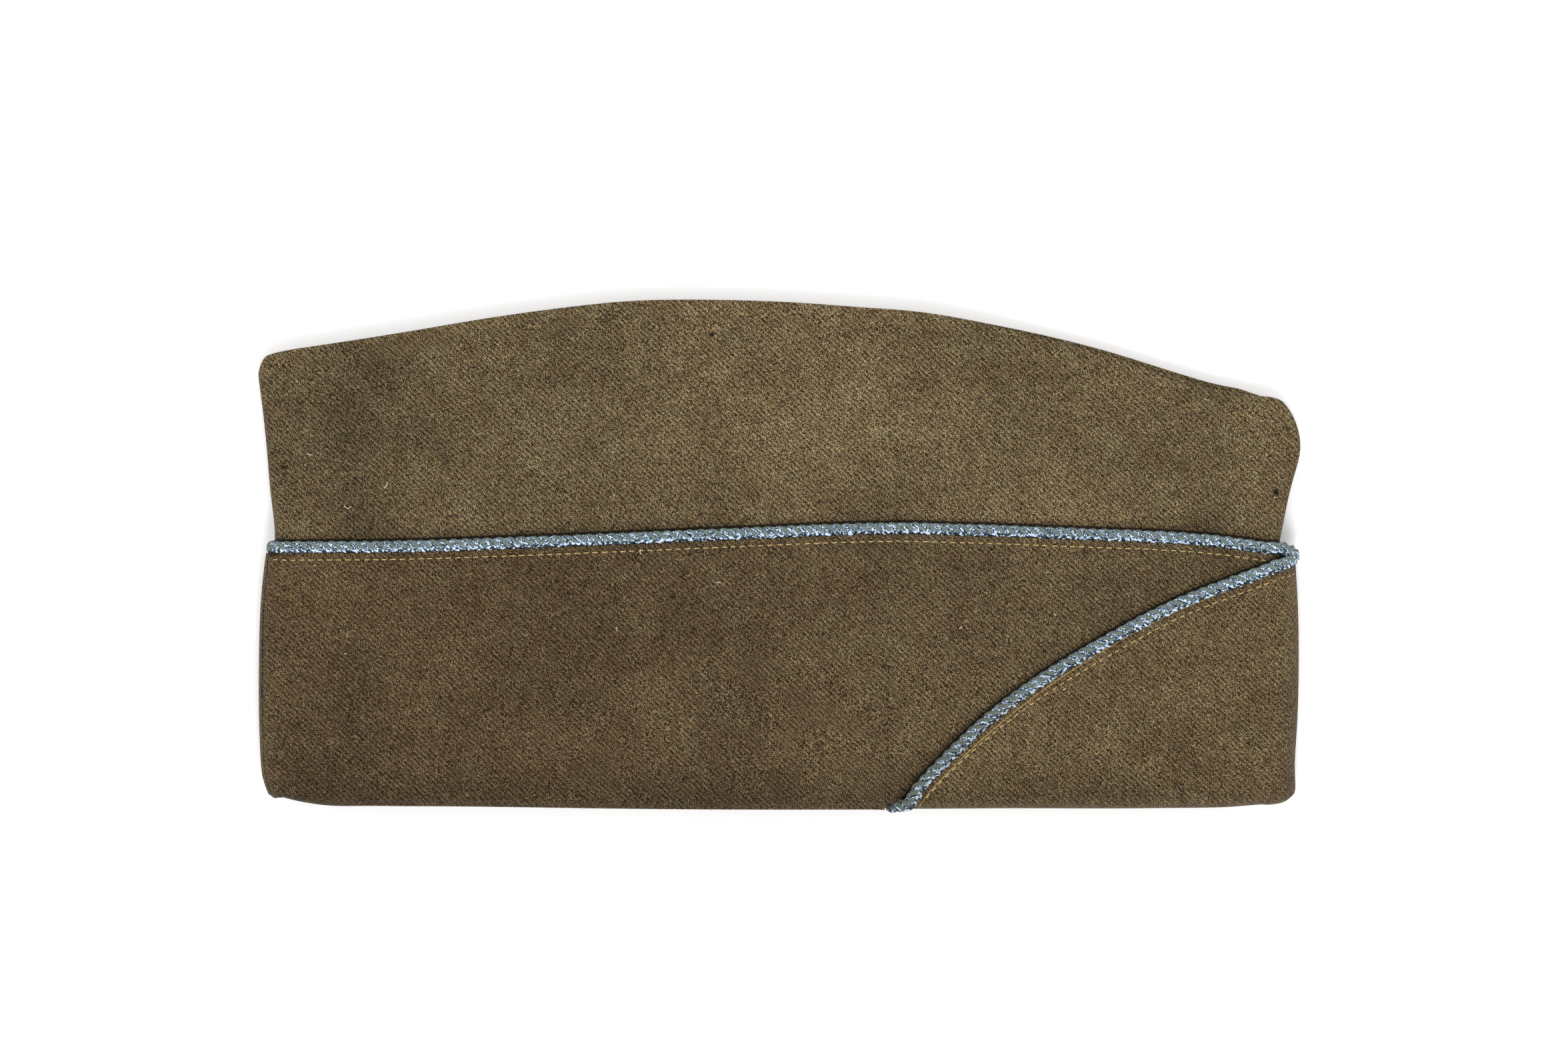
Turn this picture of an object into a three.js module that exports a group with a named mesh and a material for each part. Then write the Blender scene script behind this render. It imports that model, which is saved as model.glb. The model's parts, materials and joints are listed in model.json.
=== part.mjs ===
// A garrison cap lying on its left side, as it lies folded flat on a table.
// Millimetres. +X runs to the cap's front, +Y to the top of its crown and +Z up from the table.
// The origin is on the table, under the middle of the cap's outline.

import * as THREE from "three";

// Driving sizes of the folded cap
const capLength = 288;
const capHeight = 140.8;
const bodyThickness = 18;
const endThickness = 8;

// Cloth and cord
const crownWall = 1.6;
const curtainWall = 2.2;
const cordDiameter = 3.2;
const clothGap = 0.3;

// Folds
const endRoll = 3.5;
const hemDepth = 8;
const pleatDepth = 32;
const pleatOpening = 0.5;
const pleatInset = 1.5;
const pleatEndDepth = 6;
const ridgeSetback = 0.4;
const droopClearance = 0.4;
const stepRun = 2.5;
const footRun = 5;
const flapLeastLeg = 1.2;
const cordEndGap = 0.8;

// Angles of the curtain's joins around the ends, in degrees above the seam line
const backSeam = 33;
const seamHalfGap = 2.5;
const underlapEnd = 8;
const hemEndAngle = 70;
const tipAngle = 67.5;
const tipRiseAngle = -67.5;
const rightCordEnd = 55;
const cordFootAngle = 100;

// Outline of the crown's top edge: at is a share of the length from the back, rise a share of the height
const topLine = [
  { at: 0.0006, rise: 0.8545 },
  { at: 0.0026, rise: 0.866 },
  { at: 0.0077, rise: 0.882 },
  { at: 0.0154, rise: 0.89 },
  { at: 0.0345, rise: 0.904 },
  { at: 0.137, rise: 0.937 },
  { at: 0.2137, rise: 0.963 },
  { at: 0.2905, rise: 0.984 },
  { at: 0.3672, rise: 0.999 },
  { at: 0.4696, rise: 0.999 },
  { at: 0.5464, rise: 0.992 },
  { at: 0.6488, rise: 0.971 },
  { at: 0.7255, rise: 0.946 },
  { at: 0.8023, rise: 0.906 },
  { at: 0.8791, rise: 0.857 },
  { at: 0.9559, rise: 0.815 },
  { at: 0.9878, rise: 0.793 },
];

// The crown's back end, from the fold at the bottom to the top corner
const backEdge = [
  { rise: 0, at: 0.0154 },
  { rise: 0.081, at: 0.0122 },
  { rise: 0.225, at: 0.0102 },
  { rise: 0.409, at: 0.0122 },
  { rise: 0.535, at: 0.0179 },
  { rise: 0.592, at: 0.0134 },
  { rise: 0.671, at: 0.0102 },
  { rise: 0.813, at: 0.0032 },
  { rise: 0.855, at: 0.0006 },
  { rise: 1, at: 0.0006 },
];

// The crown's front end
const frontEdge = [
  { rise: 0, at: 0.9718 },
  { rise: 0.081, at: 0.9782 },
  { rise: 0.225, at: 0.9814 },
  { rise: 0.422, at: 0.9821 },
  { rise: 0.514, at: 0.9814 },
  { rise: 0.566, at: 0.9872 },
  { rise: 0.619, at: 0.9904 },
  { rise: 0.671, at: 0.9962 },
  { rise: 0.71, at: 1 },
  { rise: 0.75, at: 0.9974 },
  { rise: 0.793, at: 0.9878 },
  { rise: 1, at: 0.9878 },
];

// The fold along the bottom of the curtain
const bottomLine = [
  { at: 0.0154, rise: 0.02 },
  { at: 0.035, rise: 0.0131 },
  { at: 0.06, rise: 0.0066 },
  { at: 0.2, rise: 0.0052 },
  { at: 0.42, rise: 0 },
  { at: 0.75, rise: 0 },
  { at: 0.93, rise: 0.0026 },
  { at: 0.976, rise: 0.009 },
];

// The curtain's top edge, under its cord
const curtainLine = [
  { at: 0.0179, rise: 0.502 },
  { at: 0.137, rise: 0.5033 },
  { at: 0.2905, rise: 0.5138 },
  { at: 0.444, rise: 0.5269 },
  { at: 0.5976, rise: 0.5387 },
  { at: 0.7, rise: 0.5347 },
  { at: 0.8023, rise: 0.5256 },
  { at: 0.9047, rise: 0.5151 },
  { at: 0.9814, rise: 0.4993 },
];

// Middle of the cord along the overlapping end of the curtain, from the front tip down to the fold
const overlapLine = [
  { at: 0.9796, rise: 0.481 },
  { at: 0.9418, rise: 0.4482 },
  { at: 0.8932, rise: 0.4089 },
  { at: 0.8343, rise: 0.3499 },
  { at: 0.7658, rise: 0.2713 },
  { at: 0.7127, rise: 0.1927 },
  { at: 0.6686, rise: 0.114 },
];
const overlapFootShare = 0.6334;

// Soft creases across the upper side: half width is a share of the length, depth a share of the thickness
const creases = [
  { at: 0.092, halfWidth: 0.04, depth: 0.1, slant: 0.03 },
  { at: 0.345, halfWidth: 0.06, depth: 0.05, slant: -0.05 },
  { at: 0.905, halfWidth: 0.035, depth: 0.08, slant: 0.06 },
];

const cordEndAngle = THREE.MathUtils.radToDeg(cordEndGap / (endRoll + cordDiameter));

// Mesh steps
const rollSteps = 4;
const runSteps = 26;
const crownRows = 6;
const hemRows = 4;
const foldRows = 3;
const legRows = 5;
const edgeSamples = 48;
const leafRows = 3;
const pleatRows = 4;
const cordArcSegments = 4;
const cordStepsPerPlace = 2;
const flapCordSteps = 16;
const footCordSteps = 3;

const cordRadius = cordDiameter / 2;
const layerStep = curtainWall + clothGap;
const tableClearance = layerStep;
const cordClearance = cordDiameter + clothGap;
const ridgeThickness = 4 * crownWall + 2 * clothGap + pleatOpening;
const foldRadius = crownWall / 2 + clothGap + curtainWall;
const quarterTurn = 90;

const { clamp, degToRad, lerp, smoothstep } = THREE.MathUtils;
const alongLength = (share) => (share - 0.5) * capLength;
const upHeight = (share) => (share - 0.5) * capHeight;

// A smooth curve through a table's rows, held level past its ends
function curveThrough(rows, key, value) {
  const slopeAt = (i) => {
    const before = rows[Math.max(i - 1, 0)];
    const after = rows[Math.min(i + 1, rows.length - 1)];
    return (after[value] - before[value]) / (after[key] - before[key]);
  };
  return (share) => {
    const place = clamp(share, rows[0][key], rows[rows.length - 1][key]);
    const i = Math.max(rows.findIndex((row) => row[key] >= place), 1);
    const low = rows[i - 1];
    const high = rows[i];
    const span = high[key] - low[key];
    const t = (place - low[key]) / span;
    const lift = t * t * (3 - 2 * t);
    const fromLow = (t - 2 * t * t + t * t * t) * slopeAt(i - 1) * span;
    const fromHigh = (t * t * t - t * t) * slopeAt(i) * span;
    return lerp(low[value], high[value], lift) + fromLow + fromHigh;
  };
}

const topShare = curveThrough(topLine, "at", "rise");
const backShare = curveThrough(backEdge, "rise", "at");
const frontShare = curveThrough(frontEdge, "rise", "at");
const bottomShare = curveThrough(bottomLine, "at", "rise");
const curtainShare = curveThrough(curtainLine, "at", "rise");

const shareOfLength = (x) => x / capLength + 0.5;
const shareOfHeight = (y) => y / capHeight + 0.5;
const topAt = (x) => upHeight(topShare(shareOfLength(x)));
const backAt = (y) => alongLength(backShare(shareOfHeight(y)));
const frontAt = (y) => alongLength(frontShare(shareOfHeight(y)));
const bottomAt = (x) => upHeight(bottomShare(shareOfLength(x)));
const curtainTopAt = (x) => upHeight(curtainShare(shareOfLength(x)));
const overlapFootX = alongLength(overlapFootShare);
const flapStartX = overlapFootX - footRun;

const runBack = backAt(0) + endRoll;
const runFront = frontAt(0) - endRoll;
const shareOfRun = (x) => (x - runBack) / (runFront - runBack);

// How far the doubled curtain of the overlap pushes the fold's middle up, from 0 to 1
function doubledAt(x, upper) {
  return upper ? smoothstep(x, flapStartX - stepRun, flapStartX) : 0;
}

// Middle of the bottom fold, where the crown's lower edge lies
function foldCentre(x, doubled) {
  return bottomAt(x) + foldRadius + doubled * layerStep;
}

// Height of the crown's lower skin above the table: level over the curtain, humped over the cord, then drooping
function lowerSkin(x, y) {
  const edge = curtainTopAt(x);
  const humpRun = (edge - foldCentre(x, 0)) / legRows;
  const hump = clamp((y - edge) / humpRun + 1, 0, 1);
  const droop = smoothstep(y, edge + cordDiameter, topAt(x) - cordDiameter);
  const overCurtain = lerp(tableClearance, cordClearance, hump);
  return lerp(overCurtain, droopClearance, droop);
}

// Thickness of the crown over both walls and the hollow
function thicknessAt(x, y) {
  const along = clamp(shareOfLength(x), 0, 1);
  const up = clamp(shareOfHeight(y) / topShare(along), 0, 1);
  const body = lerp(endThickness, bodyThickness, Math.pow(Math.sin(Math.PI * along), 0.6));
  const closed = smoothstep(up, 0.3, 1);
  let thickness = lerp(body, ridgeThickness, closed);
  for (const crease of creases) {
    const away = (along - crease.at - crease.slant * (up - 0.5)) / crease.halfWidth;
    thickness -= crease.depth * (body - ridgeThickness) * Math.exp(-away * away);
  }
  return Math.max(thickness, ridgeThickness);
}

// A point beside the crown's outer skin. A place is on one long side or around an end, at an angle from the seam
function skinPoint(place, y, offset) {
  const back = backAt(y) + endRoll;
  const front = frontAt(y) - endRoll;
  const angle = degToRad(place.angle);
  const turned = (endRoll + offset) * Math.cos(angle);
  const runX = place.x ?? lerp(back, front, place.share);
  const x = { back: back - turned, front: front + turned, run: runX }[place.kind];
  const restX = clamp(x, back, front);
  const half = thicknessAt(restX, y) / 2;
  const middle = lowerSkin(restX, y) + half;
  return new THREE.Vector3(x, y, middle + (half + offset) * Math.sin(angle));
}

// Where a place lies along the cap for its edge heights
function nominalX(place) {
  const run = lerp(runBack, runFront, place.share);
  return { back: backAt(0), front: frontAt(0), run: place.x ?? run }[place.kind];
}

function rollPlaces(kind, fromAngle, toAngle, steps) {
  return Array.from({ length: steps + 1 }, (_, i) => ({ kind, angle: lerp(fromAngle, toAngle, i / steps) }));
}

// Places along a side. The upper side has two more where the fold steps up under the flap
function runPlaces(angle) {
  const shares = Array.from({ length: runSteps - 1 }, (_, i) => (i + 1) / runSteps);
  if (angle > 0) shares.push(shareOfRun(flapStartX - stepRun), shareOfRun(flapStartX));
  shares.sort((a, b) => a - b);
  return shares.map((share) => ({ kind: "run", angle, share }));
}

// A closed sheet between an outer and an inner grid of points, joined along its four edges
function sheetGeometry(outer, inner) {
  const columns = outer.length;
  const rows = outer[0].length;
  const points = [...outer.flat(), ...inner.flat()];
  const side = columns * rows;
  const faces = [];
  const quad = (a, b, c, d) => faces.push(a, b, c, a, c, d);
  const at = (i, j) => i * rows + j;
  for (let i = 0; i + 1 < columns; i++) {
    for (let j = 0; j + 1 < rows; j++) {
      quad(at(i, j), at(i + 1, j), at(i + 1, j + 1), at(i, j + 1));
      quad(side + at(i, j), side + at(i, j + 1), side + at(i + 1, j + 1), side + at(i + 1, j));
    }
    const last = rows - 1;
    quad(at(i, 0), side + at(i, 0), side + at(i + 1, 0), at(i + 1, 0));
    quad(at(i, last), at(i + 1, last), side + at(i + 1, last), side + at(i, last));
  }
  for (let j = 0; j + 1 < rows; j++) {
    const last = columns - 1;
    quad(at(0, j), at(0, j + 1), side + at(0, j + 1), side + at(0, j));
    quad(at(last, j), side + at(last, j), side + at(last, j + 1), at(last, j + 1));
  }
  const geometry = new THREE.BufferGeometry().setFromPoints(points);
  geometry.setIndex(signedVolume(points, faces) < 0 ? faces.reverse() : faces);
  geometry.computeVertexNormals();
  return geometry;
}

function signedVolume(points, faces) {
  let volume = 0;
  const cross = new THREE.Vector3();
  for (let i = 0; i < faces.length; i += 3) {
    const [a, b, c] = [points[faces[i]], points[faces[i + 1]], points[faces[i + 2]]];
    volume += a.dot(cross.crossVectors(b, c));
  }
  return volume;
}

// One side panel of the crown, from the bottom fold to the top ridge
function crownPanel(upper) {
  const sign = upper ? 1 : -1;
  const seamClearance = seamHalfGap * sign;
  const places = [
    ...rollPlaces("back", seamClearance, quarterTurn * sign, rollSteps),
    ...runPlaces(quarterTurn * sign),
    ...rollPlaces("front", quarterTurn * sign, seamClearance, rollSteps),
  ];
  const grid = (offset) =>
    places.map((place) => {
      const doubled = place.kind === "front" ? Number(upper) : doubledAt(nominalX(place), upper);
      const foot = foldCentre(nominalX(place), doubled);
      const edge = curtainTopAt(nominalX(place));
      const ridge = topAt(alongLength(columnShare(place)));
      const low = Array.from({ length: legRows }, (_, j) => lerp(foot, edge, j / legRows));
      const high = Array.from({ length: crownRows + 1 }, (_, j) => lerp(edge, ridge, j / crownRows));
      return [...low, ...high].map((y) => skinPoint(place, y, offset));
    });
  return sheetGeometry(grid(0), grid(-crownWall));
}

// Share of the crown's length that a place has along its top edge
function columnShare(place) {
  const rollShare = (endRoll * (1 - Math.cos(degToRad(place.angle)))) / capLength;
  return { back: rollShare, front: 1 - rollShare, run: place.share }[place.kind];
}

// The pleat let in between the two panels, folded down between them
function gussetPleat() {
  const backEnd = (x) => backAt(topAt(x)) + endRoll + pleatInset;
  const frontEnd = (x) => frontAt(topAt(x)) - endRoll - pleatInset;
  const first = backEnd(alongLength(0));
  const last = frontEnd(alongLength(1));
  const column = (share, radius) => {
    const x = lerp(first, last, share);
    const ridge = topAt(x) - ridgeSetback;
    const depth = lerp(pleatEndDepth, pleatDepth, Math.sqrt(Math.sin(Math.PI * share)));
    const centre = ridge - depth;
    const onLeaf = (y, sign) => new THREE.Vector3(x, y, lowerSkin(x, y) + thicknessAt(x, y) / 2 + sign * radius);
    const points = [];
    for (let j = 0; j < leafRows; j++) points.push(onLeaf(lerp(ridge, centre, j / leafRows), 1));
    for (let j = 0; j <= pleatRows; j++) {
      const angle = (Math.PI * j) / pleatRows;
      const middle = onLeaf(centre, 0).z;
      points.push(new THREE.Vector3(x, centre - radius * Math.sin(angle), middle + radius * Math.cos(angle)));
    }
    for (let j = leafRows - 1; j >= 0; j--) points.push(onLeaf(lerp(ridge, centre, j / leafRows), -1));
    return points;
  };
  const grid = (radius) => Array.from({ length: runSteps + 1 }, (_, i) => column(i / runSteps, radius));
  const innerRadius = pleatOpening / 2;
  return sheetGeometry(grid(innerRadius + crownWall), grid(innerRadius));
}

// One column of a curtain: up its hem, round the bottom fold and up its outer leg to the top edge
function curtainColumn(place, shape, wallShare) {
  const { top, hem, hemAngle, doubled, layer, leanTo } = shape;
  const radius = crownWall / 2 + clothGap + layer * layerStep + wallShare * curtainWall;
  const centre = foldCentre(nominalX(place), doubled);
  const middleOffset = -crownWall / 2;
  const arc = (quarterTurn - hemAngle) / quarterTurn;
  const hemShare = hem / (hem + arc * foldRadius);
  const points = [];
  const add = (y, offset) => {
    const leaning = leanTo === undefined ? place : { ...place, x: lerp(leanTo, place.x, leanShare(y, centre, top)) };
    points.push(skinPoint(leaning, y, offset));
  };
  const addTurned = (angle) => {
    const turn = degToRad(angle);
    add(centre - radius * Math.sin(turn), middleOffset - radius * Math.cos(turn));
  };
  for (let j = 0; j < hemRows; j++) {
    const done = j / hemRows;
    if (done < hemShare) add(centre + hem * (1 - done / hemShare), middleOffset - radius);
    else addTurned(lerp(hemAngle, quarterTurn, (done - hemShare) / (1 - hemShare)));
  }
  for (let j = 0; j < foldRows; j++) addTurned(lerp(quarterTurn, 2 * quarterTurn, j / foldRows));
  for (let j = 0; j <= legRows; j++) add(lerp(centre, top, j / legRows), middleOffset + radius);
  return points;
}

// Share of the way from the bottom fold's edge to the top of a leaning column
function leanShare(y, centre, top) {
  const low = centre - foldRadius - layerStep;
  return clamp((y - low) / (top - low), 0, 1);
}

function curtainSheet(columns) {
  const grid = (wallShare) => columns.map(({ place, shape }) => curtainColumn(place, shape, wallShare));
  return sheetGeometry(grid(1), grid(0));
}

// A curtain's column on a long side. The hem runs out towards both ends
function sideColumn(place, upper) {
  const x = nominalX(place);
  const fromEnd = Math.min(place.share, 1 - place.share) * runSteps;
  const hem = hemDepth * smoothstep(fromEnd, 1, 3);
  const hemAngle = hemEndAngle * (1 - smoothstep(fromEnd, 0, 1));
  const doubled = doubledAt(x, upper);
  return { place, shape: { top: curtainTopAt(x), hem, hemAngle, doubled, layer: 0 } };
}

function endColumn(place, doubled, layer) {
  const top = curtainTopAt(nominalX(place));
  return { place, shape: { top, hem: 0, hemAngle: hemEndAngle, doubled, layer } };
}

// The curtain on the side that shows, from the back seam to its end under the overlap
function rightCurtain() {
  const columns = [
    ...rollPlaces("back", backSeam + seamHalfGap, quarterTurn, rollSteps).map((place) => endColumn(place, 0, 0)),
    ...runPlaces(quarterTurn).map((place) => sideColumn(place, true)),
    ...rollPlaces("front", quarterTurn, underlapEnd, rollSteps).map((place) => endColumn(place, 1, 0)),
  ];
  return curtainSheet(columns);
}

// How far the curtain has come round the front end onto the layer under it
const overlapLayer = (angle) => smoothstep(angle, tipRiseAngle, -underlapEnd);

const overlapCurve = new THREE.CatmullRomCurve3([
  ...overlapLine.map(({ at, rise }) => new THREE.Vector3(alongLength(at), upHeight(rise), 0)),
  new THREE.Vector3(overlapFootX, foldCentre(overlapFootX, 1), 0),
]);

// Height of the cord as it turns round the front tip
function tipCordY(angle) {
  const under = curtainTopAt(frontAt(0)) + clothGap + cordRadius;
  return lerp(under, overlapCurve.getPoint(0).y, smoothstep(angle, -quarterTurn / 2, tipAngle));
}

// The flap's edge lies beside its cord
const flapEdge = Array.from({ length: edgeSamples + 1 }, (_, i) => {
  const middle = overlapCurve.getPointAt(i / edgeSamples);
  const along = overlapCurve.getTangentAt(i / edgeSamples);
  const beside = new THREE.Vector3(-along.y, along.x, 0).multiplyScalar(cordRadius + clothGap);
  return middle.add(beside);
});

function flapTopAt(x) {
  const i = clamp(flapEdge.findIndex((point) => point.x <= x), 1, edgeSamples);
  const [before, after] = [flapEdge[i - 1], flapEdge[i]];
  return lerp(before.y, after.y, (x - before.x) / (after.x - before.x));
}

// Columns of the flap, from the front roll to the foot of its slanting edge
function flapColumns() {
  const shape = { hem: 0, hemAngle: hemEndAngle, doubled: 1, layer: 1 };
  const foot = flapEdge.find((point) => point.y <= foldCentre(point.x, 1) + flapLeastLeg);
  const places = runPlaces(quarterTurn).map((place) => ({ ...place, x: nominalX(place) }));
  const columns = places
    .filter((place) => place.x > foot.x + flapLeastLeg)
    .reverse()
    .map((place) => ({ place, shape: { ...shape, top: flapTopAt(place.x) } }));
  const last = { kind: "run", angle: quarterTurn, x: foot.x };
  columns.push({ place: last, shape: { ...shape, top: foot.y, leanTo: foot.x - footRun } });
  return columns;
}

// The curtain's columns round the front end, rising onto the layer under them and dropping below the cord
function tipColumns() {
  return rollPlaces("front", -quarterTurn, quarterTurn, 2 * rollSteps).map((place) => {
    const layer = overlapLayer(place.angle);
    const column = endColumn(place, layer, layer);
    const underCord = tipCordY(place.angle) - cordRadius - clothGap;
    const turnedX = frontAt(0) - endRoll + (endRoll + layerStep) * Math.cos(degToRad(place.angle));
    column.shape.top = place.angle < tipAngle ? underCord : Math.min(underCord, flapTopAt(turnedX));
    return column;
  });
}

// The curtain on the side that lies on the table, brought round the front end as the overlapping flap
function leftCurtain() {
  const columns = [
    ...rollPlaces("back", backSeam - seamHalfGap, -quarterTurn, 2 * rollSteps).map((place) => endColumn(place, 0, 0)),
    ...runPlaces(-quarterTurn).map((place) => sideColumn(place, false)),
    ...tipColumns(),
    ...flapColumns(),
  ];
  return curtainSheet(columns);
}

// A cord's path that keeps its sections at the places that it was given
class PlacedCurve extends THREE.CatmullRomCurve3 {
  getPointAt(share, target) {
    return this.getPoint(share, target);
  }

  getTangentAt(share, target) {
    return this.getTangent(share, target);
  }
}

// A round cord along a list of points
function cordGeometry(points) {
  const section = new THREE.Shape();
  section.absarc(0, 0, cordRadius, 0, 2 * Math.PI, false);
  return new THREE.ExtrudeGeometry(section, {
    steps: cordStepsPerPlace * (points.length - 1),
    curveSegments: cordArcSegments,
    bevelEnabled: false,
    extrudePath: new PlacedCurve(points),
  });
}

// A point of a cord's middle line, seated on the layer that it runs over
function cordPoint(place, y, layer) {
  return skinPoint(place, y, clothGap + cordRadius + layer * layerStep);
}

function cordAlongTop(places) {
  return places.map((place) => cordPoint(place, curtainTopAt(nominalX(place)) + clothGap + cordRadius, 0));
}

function rightCord() {
  const places = [
    ...rollPlaces("back", backSeam + cordEndAngle, quarterTurn, rollSteps),
    ...runPlaces(quarterTurn),
    ...rollPlaces("front", quarterTurn, rightCordEnd, 2),
  ];
  return cordGeometry(cordAlongTop(places));
}

// The cord's foot, turned under with the bottom fold
function cordFoot() {
  const radius = crownWall / 2 + clothGap + layerStep + cordRadius;
  const angles = Array.from({ length: footCordSteps }, (_, i) => (i + 1) / footCordSteps);
  return angles.map((share) => {
    const turn = degToRad(lerp(2 * quarterTurn, cordFootAngle, share));
    const x = overlapFootX - footRun * share;
    const y = foldCentre(x, 1) - radius * Math.sin(turn);
    return skinPoint({ kind: "run", angle: quarterTurn, x }, y, -crownWall / 2 - radius * Math.cos(turn));
  });
}

function leftCord() {
  const along = cordAlongTop([
    ...rollPlaces("back", backSeam - cordEndAngle, -quarterTurn, 2 * rollSteps),
    ...runPlaces(-quarterTurn),
  ]);
  const tip = rollPlaces("front", -quarterTurn, tipAngle, 2 * rollSteps);
  const around = tip.map((place) => cordPoint(place, tipCordY(place.angle), overlapLayer(place.angle)));
  const down = Array.from({ length: flapCordSteps }, (_, i) => {
    const middle = overlapCurve.getPointAt((i + 1) / flapCordSteps);
    return cordPoint({ kind: "run", angle: quarterTurn, x: middle.x }, middle.y, 1);
  });
  return cordGeometry([...along, ...around, ...down, ...cordFoot()]);
}

const wool = { color: 0x6b5c41, roughness: 0.95, metalness: 0 };
const cord = { color: 0x8fa2b4, roughness: 0.5, metalness: 0 };

function piece(name, geometry, look) {
  const mesh = new THREE.Mesh(geometry, new THREE.MeshStandardMaterial(look));
  mesh.name = name;
  return mesh;
}

const cap = new THREE.Group();
cap.add(
  piece("crown_right_panel", crownPanel(true), wool),
  piece("crown_left_panel", crownPanel(false), wool),
  piece("crown_top_gusset", gussetPleat(), wool),
  piece("curtain_right", rightCurtain(), wool),
  piece("curtain_left", leftCurtain(), wool),
  piece("piping_right", rightCord(), cord),
  piece("piping_left", leftCord(), cord),
);

// The outline's middle and the table's height become the origin
const outline = new THREE.Box3().setFromObject(cap, true);
const middle = outline.getCenter(new THREE.Vector3());
cap.position.set(-middle.x, -middle.y, -outline.min.z);
cap.updateMatrixWorld(true);

export default cap;
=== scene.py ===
"""A wool garrison cap with twisted cord piping, lying folded on its left side, seen from straight above."""

import json
import math
import random

import bmesh
import bpy
from bpy.props import FloatProperty, FloatVectorProperty, IntProperty, PointerProperty
from mathutils import Matrix, Vector, noise
from mathutils.bvhtree import BVHTree
from mathutils.kdtree import KDTree

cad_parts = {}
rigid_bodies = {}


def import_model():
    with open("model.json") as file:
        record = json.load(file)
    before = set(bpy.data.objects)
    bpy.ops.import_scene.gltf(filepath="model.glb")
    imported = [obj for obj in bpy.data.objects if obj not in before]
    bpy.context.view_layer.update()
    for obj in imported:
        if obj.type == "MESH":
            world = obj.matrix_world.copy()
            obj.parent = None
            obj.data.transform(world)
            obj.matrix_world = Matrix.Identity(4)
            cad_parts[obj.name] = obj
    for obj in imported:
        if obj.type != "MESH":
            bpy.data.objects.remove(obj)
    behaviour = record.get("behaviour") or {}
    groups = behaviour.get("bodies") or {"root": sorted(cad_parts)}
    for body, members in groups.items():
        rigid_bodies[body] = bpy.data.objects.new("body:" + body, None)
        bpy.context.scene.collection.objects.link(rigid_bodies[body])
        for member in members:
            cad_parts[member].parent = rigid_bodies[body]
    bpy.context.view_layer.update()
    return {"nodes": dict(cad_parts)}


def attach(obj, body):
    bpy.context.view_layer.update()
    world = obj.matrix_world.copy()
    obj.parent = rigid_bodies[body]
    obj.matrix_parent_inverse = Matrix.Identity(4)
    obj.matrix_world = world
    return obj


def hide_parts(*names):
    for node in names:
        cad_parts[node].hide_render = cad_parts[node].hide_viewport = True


bl_info = {
    "name": "Garrison cap",
    "version": (1, 0, 0),
    "blender": (4, 5, 0),
    "location": "3D View > Sidebar > Garrison cap",
    "description": "Dresses the folded garrison cap in wool twill, piping, stitches and lint",
    "category": "Object",
}

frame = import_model()

MM = 0.001
SAME_PLACE = 0.002 * MM
TABLE_GAP = 0.02 * MM
RANDOM_SEED = 7
# Lengths of the cloth's unevenness, in metres
WIDE_RIPPLE = 0.03
NARROW_RIPPLE = 0.012
# Between the layers on the table's side and those on top
MIDDLE_HEIGHT = 8 * MM

# The photo: its size in pixels, a pixel's size on the cap, and the pixel at the middle of the cap's outline
PHOTO_SIZE = (2352, 1568)
PIXEL = 0.1845 * MM
OUTLINE_CENTRE = (1167.5, 833)

# Numbers that the meshes carry for their materials' painted shade, painted shadow and painted glints
FROM_CORD = "from_cord"
FROM_MIDDLE = "from_middle"
CORD_SIDE = "cord_side"

# Each cloth node: levels of subdivision, the size and area that it was cut to, and the cloths that it lies on
CROWN_NODES = {
    "crown_right_panel": {
        "levels": 3,
        "flat": (300 * MM, 142 * MM),
        "area": 0.0370,
        "on": ("crown_left_cloth", "crown_top_gusset_cloth"),
    },
    "crown_left_panel": {
        "levels": 2,
        "flat": (294 * MM, 140 * MM),
        "area": 0.0371,
        "on": ("curtain_left_cloth",),
    },
    "crown_top_gusset": {
        "levels": 2,
        "flat": (280 * MM, 66 * MM),
        "area": 0.0155,
        "on": ("crown_left_cloth",),
    },
}
CURTAIN_NODES = {
    "curtain_right": {"levels": 3, "flat": (290 * MM, 88 * MM), "area": 0.0240, "on": ("crown_right_cloth",)},
    "curtain_left": {"levels": 2, "flat": (402 * MM, 86 * MM), "area": 0.0300, "on": ()},
}
CORD_NODES = ("piping_right", "piping_left")
# The cloths beside each cord, which get the cord's painted shadow
CLOTH_UNDER_CORD = {
    "piping_right": ("crown_right_cloth",),
    "piping_left": ("crown_left_cloth", "curtain_right_cloth"),
}

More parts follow.
